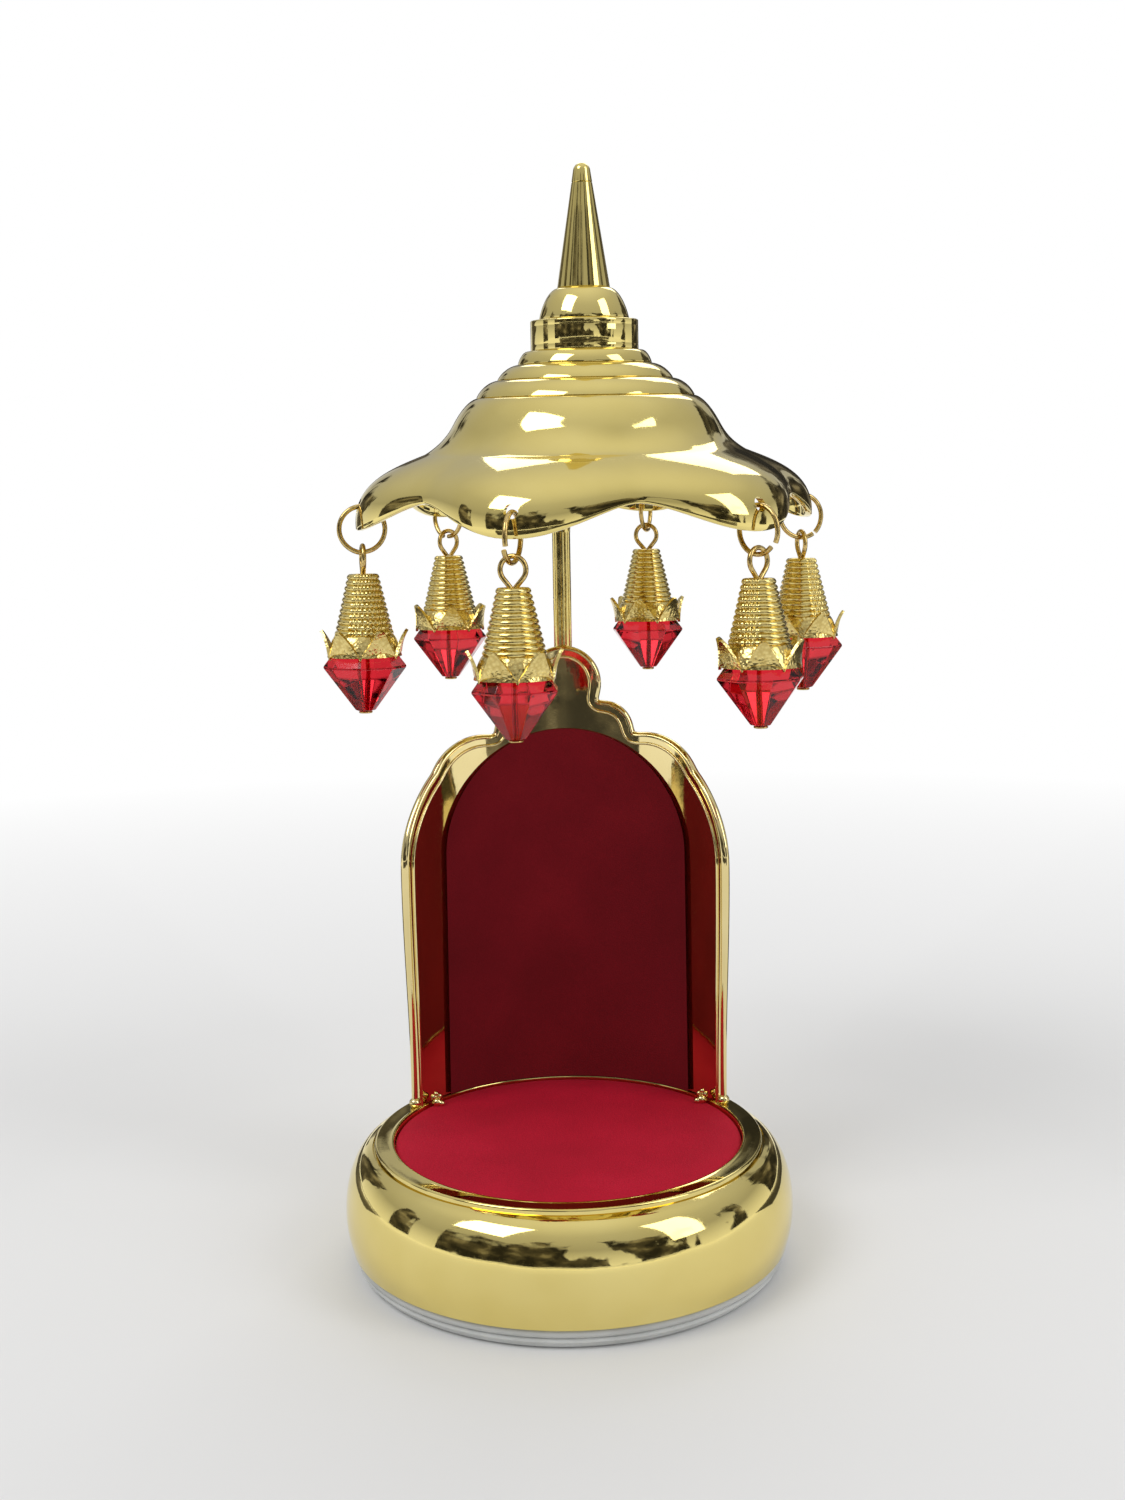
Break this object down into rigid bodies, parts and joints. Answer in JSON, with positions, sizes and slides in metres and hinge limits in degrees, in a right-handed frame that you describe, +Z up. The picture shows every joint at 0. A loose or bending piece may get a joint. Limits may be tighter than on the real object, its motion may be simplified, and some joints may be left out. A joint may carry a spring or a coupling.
{
  "type": "car dashboard temple",
  "caption": "Small dashboard temple: round base with a velvet seat, curved gold backrest, pole and a fluted bell canopy hung with swinging bead pendants.",
  "frame": {"origin": "middle of the base's underside, where the foam pad meets the dashboard", "axes": "+Z up towards the spire, -Y towards the open front of the seat, +X to the right of someone facing the seat"},
  "size_m": [0.0768, 0.0881, 0.15],
  "materials": {
    "gold_chrome": "mirror-bright pale gold metallised plastic",
    "pole_gold": "polished gold plated rod",
    "brass_wire": "bright drawn wire",
    "red_crystal": "clear red, cut facets",
    "seat_velvet": "short pile velvet, crimson",
    "back_velvet": "short pile velvet, maroon",
    "grey_plate": "plain grey moulded plate",
    "foam": "matt closed cell foam pad"
  },
  "bodies": {
    "temple": {"base_pad": "foam", "base_plate": "grey_plate", "base_shell": "gold_chrome", "seat_velvet": "seat_velvet", "backrest": "gold_chrome", "backrest_lugs": "gold_chrome", "backrest_velvet": "back_velvet", "pole_sleeve": "gold_chrome", "pole": "pole_gold", "canopy": "gold_chrome", "canopy_crown": "gold_chrome", "canopy_hub": "gold_chrome", "canopy_collar": "gold_chrome", "canopy_dome": "gold_chrome", "canopy_spire": "gold_chrome"},
    "ring_1": {"jump_ring_1": "brass_wire"},
    "drop_1": {"eye_pin_1": "brass_wire", "ribbed_cone_1": "gold_chrome", "petal_cap_1": "gold_chrome", "crystal_1": "red_crystal"},
    "ring_2": {"jump_ring_2": "brass_wire"},
    "drop_2": {"eye_pin_2": "brass_wire", "ribbed_cone_2": "gold_chrome", "petal_cap_2": "gold_chrome", "crystal_2": "red_crystal"},
    "ring_3": {"jump_ring_3": "brass_wire"},
    "drop_3": {"eye_pin_3": "brass_wire", "ribbed_cone_3": "gold_chrome", "petal_cap_3": "gold_chrome", "crystal_3": "red_crystal"},
    "ring_4": {"jump_ring_4": "brass_wire"},
    "drop_4": {"eye_pin_4": "brass_wire", "ribbed_cone_4": "gold_chrome", "petal_cap_4": "gold_chrome", "crystal_4": "red_crystal"},
    "ring_5": {"jump_ring_5": "brass_wire"},
    "drop_5": {"eye_pin_5": "brass_wire", "ribbed_cone_5": "gold_chrome", "petal_cap_5": "gold_chrome", "crystal_5": "red_crystal"},
    "ring_6": {"jump_ring_6": "brass_wire"},
    "drop_6": {"eye_pin_6": "brass_wire", "ribbed_cone_6": "gold_chrome", "petal_cap_6": "gold_chrome", "crystal_6": "red_crystal"}
  },
  "joints": [
    {"name": "ring_swing_1", "type": "hinge", "parent": "temple", "child": "ring_1", "pos_m": [-0.0056, -0.01107, 0.09982], "axis": [0.9563, -0.2924, 0], "range_deg": [-20, 20]},
    {"name": "drop_swing_1", "type": "hinge", "parent": "ring_1", "child": "drop_1", "pos_m": [-0.0056, -0.01107, 0.09332], "axis": [-0.2924, -0.9563, 0], "range_deg": [-15, 15]},
    {"name": "ring_swing_2", "type": "hinge", "parent": "temple", "child": "ring_2", "pos_m": [0.0264, -0.00369, 0.10027], "axis": [0.7314, 0.682, 0], "range_deg": [-20, 20]},
    {"name": "drop_swing_2", "type": "hinge", "parent": "ring_2", "child": "drop_2", "pos_m": [0.0264, -0.00369, 0.09377], "axis": [0.682, -0.7314, 0], "range_deg": [-15, 15]},
    {"name": "ring_swing_3", "type": "hinge", "parent": "temple", "child": "ring_3", "pos_m": [0.03601, 0.02767, 0.10219], "axis": [-0.225, 0.9744, 0], "range_deg": [-20, 20]},
    {"name": "drop_swing_3", "type": "hinge", "parent": "ring_3", "child": "drop_3", "pos_m": [0.03601, 0.02767, 0.09569], "axis": [0.9744, 0.225, 0], "range_deg": [-15, 15]},
    {"name": "ring_swing_4", "type": "hinge", "parent": "temple", "child": "ring_4", "pos_m": [0.0136, 0.05165, 0.10365], "axis": [-0.9563, 0.2924, 0], "range_deg": [-20, 20]},
    {"name": "drop_swing_4", "type": "hinge", "parent": "ring_4", "child": "drop_4", "pos_m": [0.0136, 0.05165, 0.09715], "axis": [0.2924, 0.9563, 0], "range_deg": [-15, 15]},
    {"name": "ring_swing_5", "type": "hinge", "parent": "temple", "child": "ring_5", "pos_m": [-0.0184, 0.04427, 0.1032], "axis": [-0.7314, -0.682, 0], "range_deg": [-20, 20]},
    {"name": "drop_swing_5", "type": "hinge", "parent": "ring_5", "child": "drop_5", "pos_m": [-0.0184, 0.04427, 0.0967], "axis": [-0.682, 0.7314, 0], "range_deg": [-15, 15]},
    {"name": "ring_swing_6", "type": "hinge", "parent": "temple", "child": "ring_6", "pos_m": [-0.02801, 0.01291, 0.10128], "axis": [0.225, -0.9744, 0], "range_deg": [-20, 20]},
    {"name": "drop_swing_6", "type": "hinge", "parent": "ring_6", "child": "drop_6", "pos_m": [-0.02801, 0.01291, 0.09478], "axis": [-0.9744, -0.225, 0], "range_deg": [-15, 15]}
  ]
}
